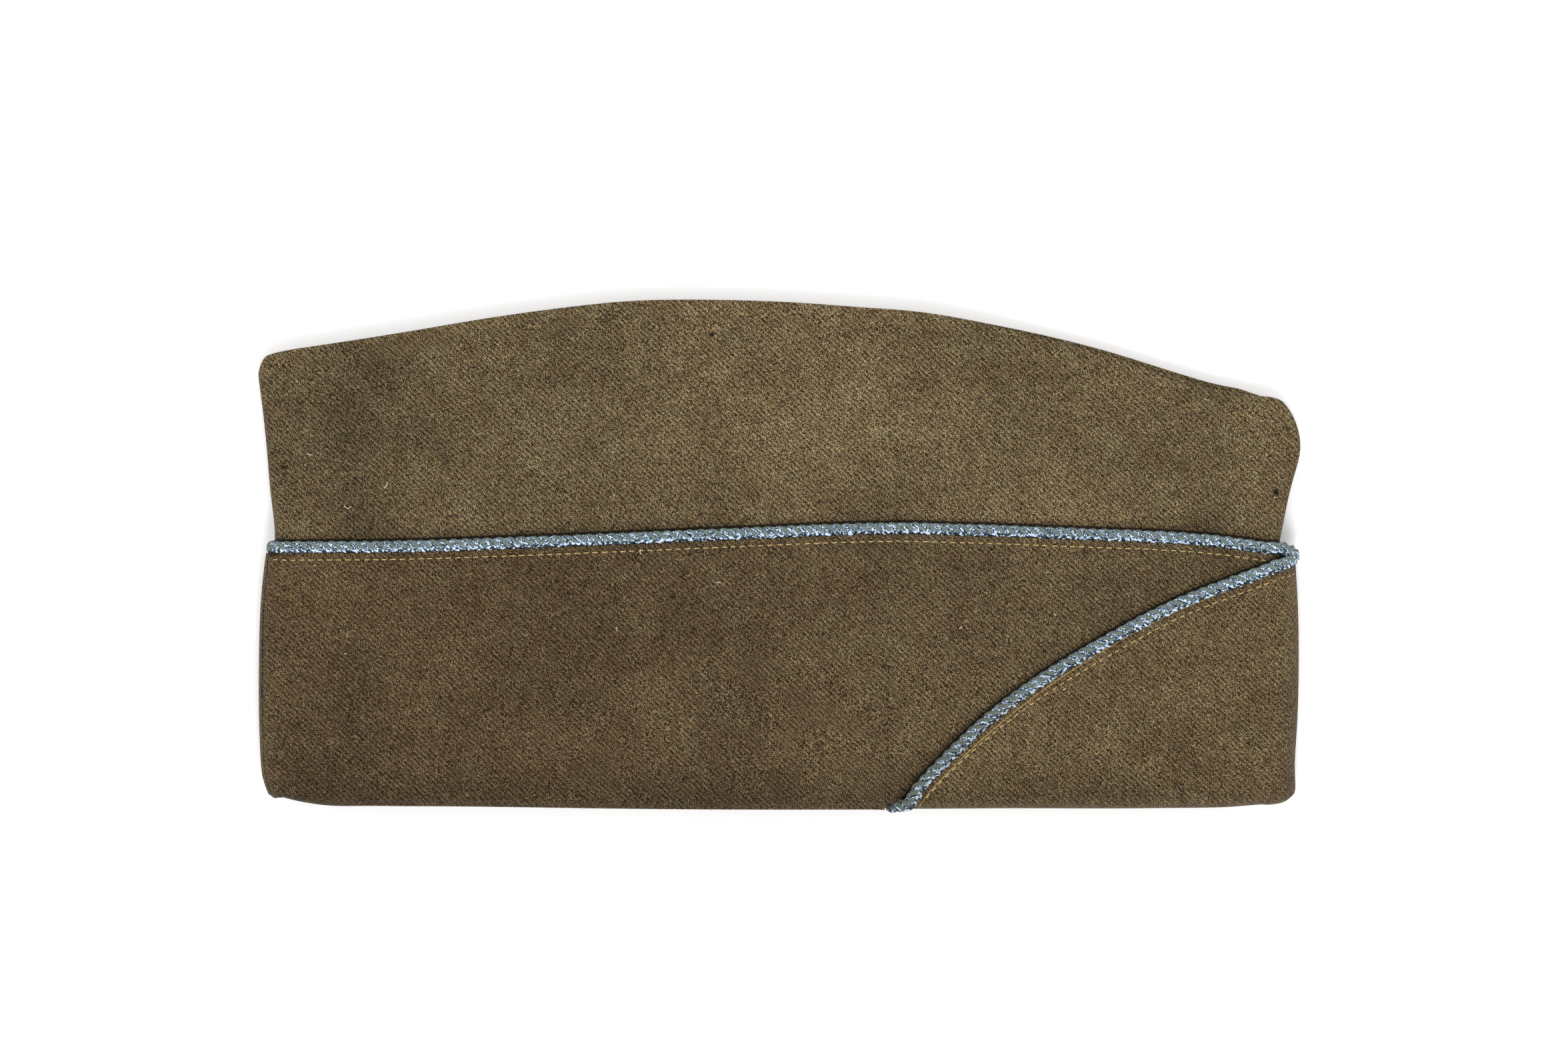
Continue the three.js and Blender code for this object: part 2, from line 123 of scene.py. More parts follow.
# Corners and ends that stand out or are drawn in from the solids' outline: middle, reach and push in pixels,
# and the one node that is moved where the others aren't
CORNERS = (
    {"at": (1908, 604), "reach": 24, "push": (0, 9)},
    {"at": (1868, 592), "reach": 32, "push": (0, 5)},
    {"at": (1938, 622), "reach": 24, "push": (1, 2)},
    {"at": (1931, 603), "reach": 12, "push": (-2, -4)},
    {"at": (1900, 600), "reach": 30, "push": (0, -5), "only": "crown_top_gusset"},
    {"at": (1944, 665), "reach": 50, "push": (3, 0)},
    {"at": (1940, 690), "reach": 90, "push": (5, 0)},
    {"at": (1700, 535), "reach": 150, "push": (2, 4)},
    {"at": (1390, 470), "reach": 80, "push": (0, 4)},
    {"at": (410, 540), "reach": 60, "push": (-3, 4)},
    {"at": (402, 812), "reach": 24, "push": (2, 2), "only": "piping_right"},
    {"at": (398, 818), "reach": 20, "push": (7, 1), "only": "piping_left"},
    {"at": (1942, 816), "reach": 14, "push": (-4, -3)},
    {"at": (1500, 1080), "reach": 130, "push": (-1.3, 3.4)},
    {"at": (1750, 920), "reach": 130, "push": (-1.3, 3.4)},
    {"at": (390, 1200), "reach": 30, "push": (3, 5)},
    {"at": (400, 1190), "reach": 14, "push": (6, -8)},
    {"at": (1925, 1200), "reach": 40, "push": (10, -3)},
    {"at": (1943, 1020), "reach": 160, "push": (4, 0)},
)

# Soft creases in the upper side: middle, half length and half width in pixels of the photo, and depth
CREASES = (
    {"at": (530, 660), "reach": 170, "width": 16, "depth": 0.45 * MM},
    {"at": (541, 1040), "reach": 170, "width": 18, "depth": 0.35 * MM},
    {"at": (1826, 705), "reach": 95, "width": 9, "depth": 0.3 * MM},
    {"at": (1776, 1110), "reach": 90, "width": 12, "depth": 0.3 * MM},
    {"at": (940, 560), "reach": 90, "width": 22, "depth": 0.25 * MM},
)

# Darker or lighter soft patches: middle and half widths in pixels of the photo, gain over the cloth's tone.
# # Painted shade: the two dark ones just above the top cord where the crown dips under it, the narrow ones
# # over the creases and the wide one along the bottom edge. Painted light: the ones along the top edge and
# # just above the top cord. The thin one at the back is the back seam's dark line.
PATCHES = (
    {"at": (545, 785), "size": (60, 38), "gain": -0.32},
    {"at": (540, 585), "size": (55, 60), "gain": 0.1},
    {"at": (530, 640), "size": (28, 150), "gain": -0.16},
    {"at": (541, 1030), "size": (30, 150), "gain": -0.12},
    {"at": (1800, 785), "size": (60, 22), "gain": -0.28},
    {"at": (1826, 700), "size": (14, 90), "gain": -0.14},
    {"at": (1776, 1105), "size": (20, 90), "gain": -0.12},
    {"at": (640, 660), "size": (260, 200), "gain": -0.2},
    {"at": (650, 1030), "size": (330, 180), "gain": -0.13},
    {"at": (1250, 640), "size": (300, 150), "gain": 0.06},
    {"at": (1680, 660), "size": (180, 130), "gain": 0.1},
    {"at": (1100, 1200), "size": (900, 40), "gain": -0.3},
    {"at": (1100, 440), "size": (600, 45), "gain": 0.16},
    {"at": (1100, 775), "size": (620, 16), "gain": 0.1},
    {"at": (395, 955), "size": (1.8, 110), "gain": -0.4},
)

# Where each cord goes past its solid's end: pixels of the photo and the height over the table.
# The right one bends down into the left one over the front fold, the left one tucks in under the bottom edge.
CORD_BENDS = {
    "piping_right": (
        ((1920, 823), 13.4 * MM),
        ((1928, 827), 13.0 * MM),
        ((1933, 833), 12.3 * MM),
        ((1932, 840), 11.6 * MM),
    ),
    "piping_left": (
        ((1346, 1208), 19.8 * MM),
        ((1338, 1211), 18.3 * MM),
        ((1330, 1210), 16.6 * MM),
    ),
}
# Each cord's thickness beside the usual one, the share of it that is lost at its end, and where that starts
CORD_GIRTH = {"piping_right": 1.0, "piping_left": 1.07}
CORD_TAPER = {"piping_right": 0.0, "piping_left": 0.5}
TAPER_LENGTH = 9 * MM
# Steps at a thinner end that cast no painted shadow on the cloth, and a distance from a cord, in metres,
# without any
UNSHADED_STEPS = 16
UNSHADED = 1.0

# Distances from the piping's middle to the rows beside the slanting cord, and where each of them changes,
# from one distance below the cap's middle line to another. The stitches move away, then nearer, and the
# seam thread comes out from under the cord.
STITCHES_FURTHER = 0.35 * MM
FURTHER_RUN = (12 * MM, 30 * MM)
NEARER_RUN = (40 * MM, 60 * MM)
THREAD_NEAREST = 1.6 * MM
THREAD_FURTHER = 1.25 * MM
THREAD_RUN = (18 * MM, 44 * MM)

# Where the looks change over the cap, in millimetres: the curtain's painted shade from back to front, the
# painted
# # shadow beside the slanting cord from the middle line down, and the cords' colour from foot to top
FRONT_RUN = (-90, 110)
FOOT_RUN = (8, 50)
FOOT_SHADE = 0.34
FOOT_SHADE_REACH = (2.6 * MM, 4.6 * MM)
CORD_DIM_RUN = (-62, -2)
CORD_DIM_FOOT = (0.7, 0.68, 0.62, 1.0)
CORD_DIM_TOP = (0.97, 1.0, 1.0, 1.0)

# Moth holes, painted near black as the shade inside them: middle and half sizes in pixels of the photo, and
# the long way's turn in degrees
HOLES = (
    {"at": (1914, 739), "size": (6.0, 3.8), "turn": -50},
    {"at": (1068, 502), "size": (4.2, 3.0), "turn": 20},
    {"at": (426, 701), "size": (4.4, 1.8), "turn": -30},
    {"at": (408, 680), "size": (2.4, 1.8), "turn": 0},
    {"at": (430, 768), "size": (2.4, 1.6), "turn": 40},
    {"at": (533, 718), "size": (2.6, 1.8), "turn": 10},
)

# Lint: middle in pixels of the photo, length in pixels, turn in degrees and curl in degrees over its length
LINT = (
    {"at": (461, 680), "length": 10, "turn": -40, "curl": 60},
    {"at": (457, 698), "length": 3, "turn": 10, "curl": 20},
    {"at": (517, 758), "length": 15, "turn": -70, "curl": 150},
    {"at": (577, 732), "length": 12, "turn": 30, "curl": 90},
    {"at": (921, 745), "length": 5, "turn": 60, "curl": 40},
    {"at": (1015, 555), "length": 6, "turn": 20, "curl": 80},
    {"at": (518, 980), "length": 4, "turn": -20, "curl": 30},
    {"at": (926, 946), "length": 7, "turn": 70, "curl": 60},
    {"at": (962, 824), "length": 11, "turn": -120, "curl": 120},
    {"at": (1076, 874), "length": 5, "turn": 0, "curl": 60},
    {"at": (1471, 778), "length": 5, "turn": 35, "curl": 20},
    {"at": (1579, 920), "length": 6, "turn": -60, "curl": 70},
    {"at": (1437, 943), "length": 7, "turn": 15, "curl": 90},
    {"at": (1910, 747), "length": 3, "turn": 0, "curl": 20},
    {"at": (1592, 1034), "length": 6, "turn": 20, "curl": 15},
)


def place_of(pixel):
    """The spot on the table, in metres, that a pixel of the photo shows."""
    return Vector(((pixel[0] - OUTLINE_CENTRE[0]) * PIXEL, (OUTLINE_CENTRE[1] - pixel[1]) * PIXEL))


def eased(value, low, high):
    """0 below low, 1 above high and smooth between."""
    t = min(max((value - low) / (high - low), 0.0), 1.0)
    return t * t * (3 - 2 * t)


def deselect_all():
    if bpy.context.object and bpy.context.object.mode != "OBJECT":
        bpy.ops.object.mode_set(mode="OBJECT")
    bpy.ops.object.select_all(action="DESELECT")


def make_active(piece):
    deselect_all()
    piece.select_set(True)
    bpy.context.view_layer.objects.active = piece


def piece_from(name, mesh):
    piece = bpy.data.objects.new(name, mesh)
    bpy.context.scene.collection.objects.link(piece)
    return piece


class Number:
    """A number that a shader works out. Sums and products on it add Math nodes."""

    def __init__(self, nodes, socket):
        self.nodes = nodes
        self.socket = socket

    def _math(self, operation, *values):
        return self.nodes.add("ShaderNodeMath", {"operation": operation}, dict(enumerate(values)))[0]

    def __add__(self, other):
        return self._math("ADD", self, other)

    def __sub__(self, other):
        return self._math("SUBTRACT", self, other)

    def __rsub__(self, other):
        return self._math("SUBTRACT", other, self)

    def __mul__(self, other):
        return self._math("MULTIPLY", self, other)

    def __gt__(self, other):
        return self._math("GREATER_THAN", self, other)

    __radd__ = __add__
    __rmul__ = __mul__

    def sine(self):
        return self._math("SINE", self)

    def size(self):
        return self._math("ABSOLUTE", self)

    def whole(self):
        return self._math("FLOOR", self)

    def clamped(self):
        return self.nodes.add("ShaderNodeClamp", {}, {0: self})[0]

    def falling(self):
        """exp(-value), for the soft edge of a patch."""
        return self._math("POWER", math.e, 0 - self)

    def ramp(self, low, high):
        """0 at low, 1 at high, smooth between."""
        values = {"Value": self, "From Min": low, "From Max": high}
        return self.nodes.add("ShaderNodeMapRange", {"interpolation_type": "SMOOTHSTEP"}, values)[0]


# The Mix node's sockets for colours
MIX_SHARE, MIX_LOW, MIX_HIGH, MIX_COLOUR = 0, 6, 7, 2


class Nodes:
    """A material's nodes, added one call at a time."""

    def __init__(self, name):
        self.material = bpy.data.materials.new(name)
        self.material.use_nodes = True
        self.tree = self.material.node_tree
        self.shader = self.tree.nodes["Principled BSDF"]

    def add(self, kind, settings, values):
        node = self.tree.nodes.new(kind)
        for key, value in settings.items():
            setattr(node, key, value)
        for key, value in values.items():
            self.feed(node.inputs[key], value)
        return [Number(self, socket) for socket in node.outputs]

    def feed(self, socket, value):
        if isinstance(value, Number):
            self.tree.links.new(value.socket, socket)
        else:
            socket.default_value = value

    def finish(self, values):
        """Sets the shader's sockets and gives the material back."""
        for key, value in values.items():
            self.feed(self.shader.inputs[key], value)
        return self.material

    def mixed(self, share, low, high, kind="MIX"):
        """A colour between two others, or brought together by another kind of blending."""
        settings = {"data_type": "RGBA", "blend_type": kind}
        values = {MIX_SHARE: share, MIX_LOW: low, MIX_HIGH: high}
        return self.add("ShaderNodeMix", settings, values)[MIX_COLOUR]

    def noted(self, name):
        """A number that the mesh carries under a name."""
        return self.add("ShaderNodeAttribute", {"attribute_name": name}, {})[2]

    def noise(self, point, scale, detail=2.0, roughness=0.5):
        values = {"Vector": point, "Scale": scale, "Detail": detail, "Roughness": roughness}
        return self.add("ShaderNodeTexNoise", {}, values)[0]

    def object_millimetres(self):
        """Object coordinates in millimetres, whole and as x, y and z."""
        coordinates = self.add("ShaderNodeTexCoord", {}, {})[3]
        values = {0: coordinates, "Scale": 1 / MM}
        point = self.add("ShaderNodeVectorMath", {"operation": "SCALE"}, values)[0]
        return point, self.add("ShaderNodeSeparateXYZ", {}, {0: point})[:3]

    def normal_parts(self):
        normal = self.add("ShaderNodeTexCoord", {}, {})[1]
        return self.add("ShaderNodeSeparateXYZ", {}, {0: normal})[:3]

    def bump(self, height, strength, distance):
        values = {"Height": height, "Strength": strength, "Distance": distance}
        return self.add("ShaderNodeBump", {}, values)[0]


# How strongly a normal leans to count as an end's or a rim's
STEEP = 0.75

# Looks of the yarns and threads: how much darker and lighter their streaks are, and how many there are
YARNS = {
    "matte_yarn": {"roughness": 0.85, "variation": 0.4, "streaks": 2.4, "specular": 0.25},
    "cord_core": {"roughness": 0.9, "variation": 0.2, "streaks": 2.0, "specular": 0.1},
    "stitch_thread": {"roughness": 0.6, "variation": 0.25, "streaks": 2.5, "specular": 0.3},
    "needle_hole": {"roughness": 0.9, "variation": 0.2, "streaks": 2.0, "specular": 0.1},
    "seam_thread": {"roughness": 0.7, "variation": 0.25, "streaks": 2.5, "specular": 0.2},
    "lint_fibre": {"roughness": 0.8, "variation": 0.1, "streaks": 2.0, "specular": 0.2},
}
# Places of the materials on the cords and on the stitches
MATTE, SHINY, CORE = 0, 1, 2
THREAD, NEEDLE_HOLE, SEAM_THREAD = 0, 1, 2


def srgb(red, green, blue):
    """A colour from its 0 to 255 values on screen, as the shader's linear RGBA."""

    def linear(value):
        part = value / 255
        return part / 12.92 if part <= 0.04045 else ((part + 0.055) / 1.055) ** 2.4

    return (linear(red), linear(green), linear(blue), 1.0)


def colour_prop(name, description, default):
    return FloatVectorProperty(name=name, description=description, subtype="COLOR", size=4, default=default)


def length_prop(name, description, millimetres):
    return FloatProperty(name=name, description=description, default=millimetres * MM, unit="LENGTH")


def angle_prop(name, description, degrees):
    return FloatProperty(name=name, description=description, default=math.radians(degrees), subtype="ANGLE")


class CAP_PG_wool(bpy.types.PropertyGroup):
    """The olive-drab wool twill."""

    shadow: colour_prop("Yarn shadow", "Colour between the yarns", srgb(28, 20, 11))
    body: colour_prop("Yarn", "Colour of most of the yarn", srgb(72, 60, 41))
    light: colour_prop("Yarn light", "Colour of the pale fibres", srgb(150, 131, 98))
    # Painted shade: colours that darken the crown, the curtains and the right curtain's front for how the
    # light falls
    crown_shade: colour_prop("Crown shade", "Darkens the crown", (0.99, 0.99, 0.99, 1.0))
    curtain_shade: colour_prop("Curtain shade", "Darkens the right curtain", (0.75, 0.68, 0.66, 1.0))
    front_shade: colour_prop("Front shade", "Darkens the right curtain at the front", (0.72, 0.71, 0.71, 1.0))
    flap_shade: colour_prop("Flap shade", "Darkens the left curtain", (0.82, 0.79, 0.77, 1.0))
    rib_pitch: length_prop("Rib pitch", "Distance between the twill's ribs", 0.58)
    rib_turn: angle_prop("Rib turn", "Turn of the ribs' normal", 47)
    pick_pitch: length_prop("Pick pitch", "Distance between the bumps along a rib", 0.553)
    pick_turn: angle_prop("Pick turn", "Turn of the bumps' normal", 159)
    float_length: length_prop("Float length", "Length of yarn that shows along a rib", 0.66)
    # Where the cords' painted shadow on the cloth is full and where it ends
    cord_shade_near: length_prop("Shade near", "Distance from a cord's middle where its shade is full", 2.2)
    cord_shade_far: length_prop("Shade far", "Distance from a cord's middle where its shade ends", 2.55)
    relief: length_prop("Relief", "Height of the weave", 0.16)
    ripple: length_prop("Ripple", "Height of the cloth's soft unevenness", 0.5)
    edge_round: length_prop("Edge round", "Rounding of the cloth's edges", 0.45)


class CAP_PG_piping(bpy.types.PropertyGroup):
    """The twisted cord."""

    matte: colour_prop("Matte yarn", "Colour of the grey strands", srgb(96, 106, 101))
    shiny: colour_prop("Shiny thread", "Colour of the blue threads", srgb(98, 128, 154))
    # The glint colour is a painted highlight on the threads, and the core colour is painted shade between the
    # strands
    glint: colour_prop("Glint", "Colour of the threads' glints", srgb(208, 224, 246))
    core: colour_prop("Core", "Colour between the strands", srgb(14, 20, 30))
    radius: length_prop("Cord radius", "Half the cord's thickness", 1.68)
    sink: length_prop("Sink", "Depth that the cord lies in its cloth's edge", 0.2)
    units: IntProperty(name="Strands", description="Grey strands in the cord", default=3, min=2)
    threads: IntProperty(name="Threads", description="Shiny threads by each strand", default=4, min=1)
    lay: length_prop("Lay", "Length of one whole twist", 9.3)
    matte_radius: length_prop("Matte strand radius", "Half a grey strand's thickness", 0.54)
    thread_radius: length_prop("Thread radius", "Half a shiny thread's thickness", 0.18)
    step: length_prop("Step", "Length between the sections of a strand", 0.5)


class CAP_PG_stitches(bpy.types.PropertyGroup):
    """The topstitching beside the piping."""

    thread: colour_prop("Thread", "Colour of the thread", srgb(188, 164, 110))
    pitch: length_prop("Pitch", "Length from stitch to stitch", 2.54)
    length: length_prop("Stitch length", "Length of thread that shows", 1.55)
    radius: length_prop("Thread radius", "Half the thread's thickness", 0.125)
    from_cord: length_prop("Distance from cord", "From the cord's middle to the stitches", 3.5)
    nearer: length_prop("Nearer", "How much nearer the stitches are at the diagonal's foot", 0.65)
    hole_radius: length_prop("Needle hole radius", "Half a needle hole's width", 0.17)


class CAP_PG_stage(bpy.types.PropertyGroup):
    """The floor, the lights and the camera."""

    floor: colour_prop("Floor", "Colour of the floor", (0.98, 0.98, 0.98, 1.0))
    camera_height: length_prop("Camera height", "Height of the camera over the table", 2600)
    floor_side: length_prop("Floor side", "Width of the floor", 6000)
    main_power: FloatProperty(
        name="Main light", description="Power of the main light", default=17.0, unit="POWER"
    )
    fill_power: FloatProperty(
        name="Fill light", description="Power of the fill light", default=13.5, unit="POWER"
    )
    sky: FloatProperty(name="Sky", description="Strength of the even light", default=0.97)


def relief_at(place, ripple):
    """How far the cloth's upper side stands up or is pressed in at a place. The table's side stays flat."""
    over_table = eased(place.z, 3 * MM, 9 * MM)
    flat = Vector((place.x, place.y, 0))
    wide = noise.noise(flat / WIDE_RIPPLE) * 0.9
    narrow = noise.noise(flat / NARROW_RIPPLE + Vector((3, 5, 7))) * 0.35
    lift = ripple * (wide + narrow)
    for crease in CREASES:
        middle = place_of(crease["at"])
        across = (place.x - middle.x) / (crease["width"] * PIXEL)
        along = (place.y - middle.y) / (crease["reach"] * PIXEL)
        if abs(across) < 3 and abs(along) < 1:
            lift -= crease["depth"] * math.exp(-across * across) * (1 - along * along) ** 2
    return over_table * lift


def pushed(place, node_name):
    """A place of a node, moved with the corners and ends near it."""
    moved = place.copy()
    for corner in CORNERS:
        if corner.get("only", node_name) != node_name:
            continue
        away = (place.to_2d() - place_of(corner["at"])).length / (corner["reach"] * PIXEL)
        if away < 3:
            share = math.exp(-away * away)
            moved.x += corner["push"][0] * PIXEL * share
            moved.y += corner["push"][1] * PIXEL * share
    return moved


def settle(mesh, node_name, ripple):
    """Moves a mesh's vertices with the cloth's unevenness, so that layers keep their gaps."""
    for vertex in mesh.vertices:
        vertex.co = pushed(vertex.co, node_name)
        vertex.co.z += relief_at(vertex.co, ripple)


def patch_gain(nodes, x, y):
    """The gain that all patches together have on the cloth's tone."""
    total = 0.0
    for patch in PATCHES:
        middle = place_of(patch["at"]) / MM
        across = (x - middle.x) * (MM / (patch["size"][0] * PIXEL))
        along = (y - middle.y) * (MM / (patch["size"][1] * PIXEL))
        total = (across * across + along * along).falling() * patch["gain"] + total
    return total + 1.0


def hole_mask(nodes, x, y, z):
    """1 inside a moth hole on the upper side, painted near black as its shade, 0 on the cloth."""
    total = 0.0
    for hole in HOLES:
        middle = place_of(hole["at"]) / MM
        turn = math.radians(hole["turn"])
        stretch = [MM / (half * PIXEL) for half in hole["size"]]
        right, up = x - middle.x, y - middle.y
        along = (right * math.cos(turn) + up * math.sin(turn)) * stretch[0]
        across = (up * math.cos(turn) - right * math.sin(turn)) * stretch[1]
        near = along * along + across * across
        total = (near * near).falling() + total
    return (total * (z > 5.0)).clamped()


def wool_material(name, wool, shade, front_shade):
    """Twill of diagonal ribs with a fine heather, laid flat on each side that it covers."""
    nodes = Nodes(name)
    point, (x, y, z) = nodes.object_millimetres()
    normal_x, normal_y, _ = nodes.normal_parts()
    end = normal_x.size() > STEEP
    rim = (normal_y.size() > STEEP) * (1 - end)
    wander = nodes.noise(point, 0.35, 1.0) * 0.5
    flutter = nodes.noise(point, 1.1, 1.0) * 0.16
    u = x * (1 - end) + z * end + wander + flutter
    v = y * (1 - rim) + z * rim - wander + flutter
    rib_turn, pick_turn = wool.rib_turn, wool.pick_turn
    along_ribs = u * math.cos(rib_turn) + v * math.sin(rib_turn)
    along_picks = u * math.cos(pick_turn) + v * math.sin(pick_turn)
    rib = (along_ribs * (2 * math.pi * MM / wool.rib_pitch)).sine()
    half_rib = (along_ribs * (math.pi * MM / wool.rib_pitch) + 0.8).sine()
    pick = (along_picks * (2 * math.pi * MM / wool.pick_pitch)).sine()
    down_ribs = v * math.cos(rib_turn) - u * math.sin(rib_turn)
    row = (along_ribs * (MM / wool.rib_pitch)).whole()
    float_number = (down_ribs * (MM / wool.float_length) + row * 0.37).whole()
    own_tone = nodes.add("ShaderNodeCombineXYZ", {}, {0: row, 1: float_number, 2: end + rim * 2})[0]
    heather = nodes.add("ShaderNodeTexWhiteNoise", {"noise_dimensions": "3D"}, {"Vector": own_tone})[0] - 0.5
    fine = nodes.noise(point, 4.4, 0.0) - 0.5
    fleck = nodes.noise(point, 1.3, 1.0) - 0.5
    tuft = nodes.noise(point, 0.5, 1.0) - 0.5
    cloud = nodes.noise(point, 0.11, 3.0, 0.6) - 0.5
    wide = nodes.noise(point, 0.022, 2.0) - 0.5
    weave = rib * 0.2 + half_rib * (0.26 + tuft * 0.5) + pick * 0.1 + rib * pick * 0.14
    grain = weave * 0.62 + heather * 0.26 + fine * 2.75 + fleck * 0.22 + tuft * 0.15 + 0.485
    tone = patch_gain(nodes, x, y) * (cloud * 0.8 + wide * 1.0 + 1.0)
    dark_to_body = nodes.mixed(grain.ramp(0.05, 0.52), tuple(wool.shadow), tuple(wool.body))
    colour = nodes.mixed(grain.ramp(0.5, 1.05), dark_to_body, tuple(wool.light))
    tint = nodes.mixed((fleck * 2.0 + cloud * 1.5 + 0.5).clamped(), srgb(255, 243, 232), srgb(243, 252, 248))
    tinted = nodes.mixed(1.0, colour, tint, "MULTIPLY")
    # Painted shade: the cloth's shade colour, which changes from back to front on the right curtain
    towards_front = nodes.mixed(x.ramp(*FRONT_RUN), tuple(shade), tuple(front_shade))
    shaded = nodes.mixed(1.0, tinted, towards_front, "MULTIPLY")
    # Painted shadow of the cords: the cloth darkens close beside a cord, and more widely towards the slanting
    # cord's foot
    beside = nodes.noted(FROM_CORD)
    towards_foot = (0 - y).ramp(*FOOT_RUN)
    least = towards_foot * 0.12 + 0.18
    tone = tone * (beside.ramp(wool.cord_shade_near, wool.cord_shade_far) * (1 - least) + least)
    tone = tone * (1 - towards_foot * FOOT_SHADE * (1 - beside.ramp(*FOOT_SHADE_REACH)))
    toned = nodes.add("ShaderNodeVectorMath", {"operation": "SCALE"}, {0: shaded, "Scale": tone})[0]
    # Painted shade: the moth holes are near black, as their insides are in shade
    hole = hole_mask(nodes, x, y, z)
    return nodes.finish({
        "Base Color": nodes.mixed(hole * 0.97, toned, srgb(10, 7, 4)),
        "Roughness": 0.88 + fleck * 0.2,
        "Normal": nodes.bump(weave + fine + heather * 0.3 - hole * 2.0, 0.9, wool.relief),
        "Sheen Weight": 0.03,
        "Sheen Roughness": 0.5,
        "Specular IOR Level": 0.12,
    })


def shine(nodes, point, piping):
    """The shiny thread's colour, with painted navy shade and painted white glints, and how much it glints."""
    side = nodes.noted(CORD_SIDE)
    # Painted glints: larger and stronger on the cord's lower right side, towards the main light
    low = side.ramp(0.2, 0.6)
    coarse = nodes.noise(point, 1.3, 0.0) * 1.6 - 0.31
    glint = nodes.noise(point, 2.5, 0.0) * (1 - low) + coarse * low
    body = nodes.mixed(glint.ramp(0.42, 0.5), tuple(piping.core), tuple(piping.shiny))
    return nodes.mixed(glint.ramp(0.55, 0.6), body, tuple(piping.glint)), glint, side


def dimmed(nodes, y, colour):
    """A cord's colour, which is darker and greener towards the diagonal's foot than along the top."""
    along = nodes.mixed(y.ramp(*CORD_DIM_RUN), CORD_DIM_FOOT, CORD_DIM_TOP)
    return nodes.mixed(1.0, colour, along, "MULTIPLY")


def yarn_material(name, colour, piping=None):
    """Fibres of one colour with streaks. A cord's have painted shade in its grooves and painted glints on its
    lower side.
    """
    look = YARNS[name]
    nodes = Nodes(name)
    point, (_, y, _) = nodes.object_millimetres()
    streak = nodes.noise(point, look["streaks"], 2.0, 0.6)
    dark = tuple(part * (1 - look["variation"]) for part in colour[:3]) + (1.0,)
    light = tuple(min(part * (1 + look["variation"]), 1.0) for part in colour[:3]) + (1.0,)
    tone = nodes.mixed(streak.ramp(0.3, 0.7), dark, light)
    if piping:
        shiny, _, side = shine(nodes, point, piping)
        # The strand's lower side takes the shiny thread's colour: the blue threads that lie there, with
        # painted glints
        tone = nodes.mixed(side.ramp(0.1, 0.55) * 0.85, tone, shiny)
        # Painted shade in the grooves between the strands
        sunk = nodes.noted(FROM_MIDDLE) - side.ramp(0.2, 0.8) * (0.08 * piping.radius)
        tone = nodes.mixed(sunk.ramp(piping.radius * 0.66, piping.radius * 0.93), srgb(22, 27, 31), tone)
        tone = dimmed(nodes, y, tone)
    return nodes.finish({
        "Base Color": tone,
        "Roughness": look["roughness"] + streak * 0.1,
        "Normal": nodes.bump(streak, 0.4, 0.05 * MM),
        "Specular IOR Level": look["specular"],
    })


def glint_material(piping):
    """Shiny thread: painted navy shade in the gaps and a painted white highlight where it comes up to the
    light.
    """
    nodes = Nodes("shiny_thread")
    point, (_, y, _) = nodes.object_millimetres()
    tone, glint, _ = shine(nodes, point, piping)
    look = {"Base Color": dimmed(nodes, y, tone), "Roughness": 0.4 - glint * 0.25, "Specular IOR Level": 0.8}
    return nodes.finish(look)


def place_key(place):
    return tuple(round(part / (0.01 * MM)) for part in place)


def soft_places(piece, angle):
    """The places of a piece's vertices that no sharp edge touches."""
    mesh = bmesh.new()
    mesh.from_mesh(piece.data)
    soft = {
        place_key(vertex.co)
        for vertex in mesh.verts
        if all(edge.is_manifold and edge.calc_face_angle() < angle for edge in vertex.link_edges)
    }
    mesh.free()
    return soft


def hold_shape(piece, soft, rounds=2):
    """Moves a piece's cage until its smooth surface goes through its soft places."""
    aims = {v.index: v.co.copy() for v in piece.data.vertices if place_key(v.co) in soft}
    for _ in range(rounds):
        smooth = piece.evaluated_get(bpy.context.evaluated_depsgraph_get())
        shown = smooth.to_mesh()
        misses = {i: aim - shown.vertices[i].co for i, aim in aims.items()}
        smooth.to_mesh_clear()
        for i, miss in misses.items():
            piece.data.vertices[i].co += miss
        piece.data.update()


def cloth_piece(node_name, cloth, material, wool):
    """A finished sheet of cloth over a CAD sheet, with round edges and soft unevenness."""
    mesh = frame["nodes"][node_name].data.copy()
    mesh.materials.clear()
    piece = piece_from(node_name.replace("_panel", "") + "_cloth", mesh)
    make_active(piece)
    bpy.ops.object.mode_set(mode="EDIT")
    bpy.ops.mesh.select_all(action="SELECT")
    bpy.ops.mesh.remove_doubles(threshold=SAME_PLACE)
    bpy.ops.mesh.tris_convert_to_quads(face_threshold=math.radians(50), shape_threshold=math.radians(70))
    bpy.ops.object.mode_set(mode="OBJECT")
    sharp = math.radians(58)
    soft = soft_places(piece, sharp)
    rounding = piece.modifiers.new("round_edges", "BEVEL")
    rounding.width = wool.edge_round
    rounding.segments = 1
    rounding.limit_method = "ANGLE"
    rounding.angle_limit = sharp
    rounding.use_clamp_overlap = True
    bpy.ops.object.modifier_apply(modifier=rounding.name)
    fine = piece.modifiers.new("fine_cloth", "SUBSURF")
    fine.levels = fine.render_levels = cloth["levels"]
    hold_shape(piece, soft)
    bpy.ops.object.modifier_apply(modifier=fine.name)
    settle(piece.data, node_name, wool.ripple)
    keep_off_table(piece)
    bpy.ops.object.shade_smooth()
    piece.data.materials.append(material)
    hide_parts(node_name)
    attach(piece, "root")
    return piece


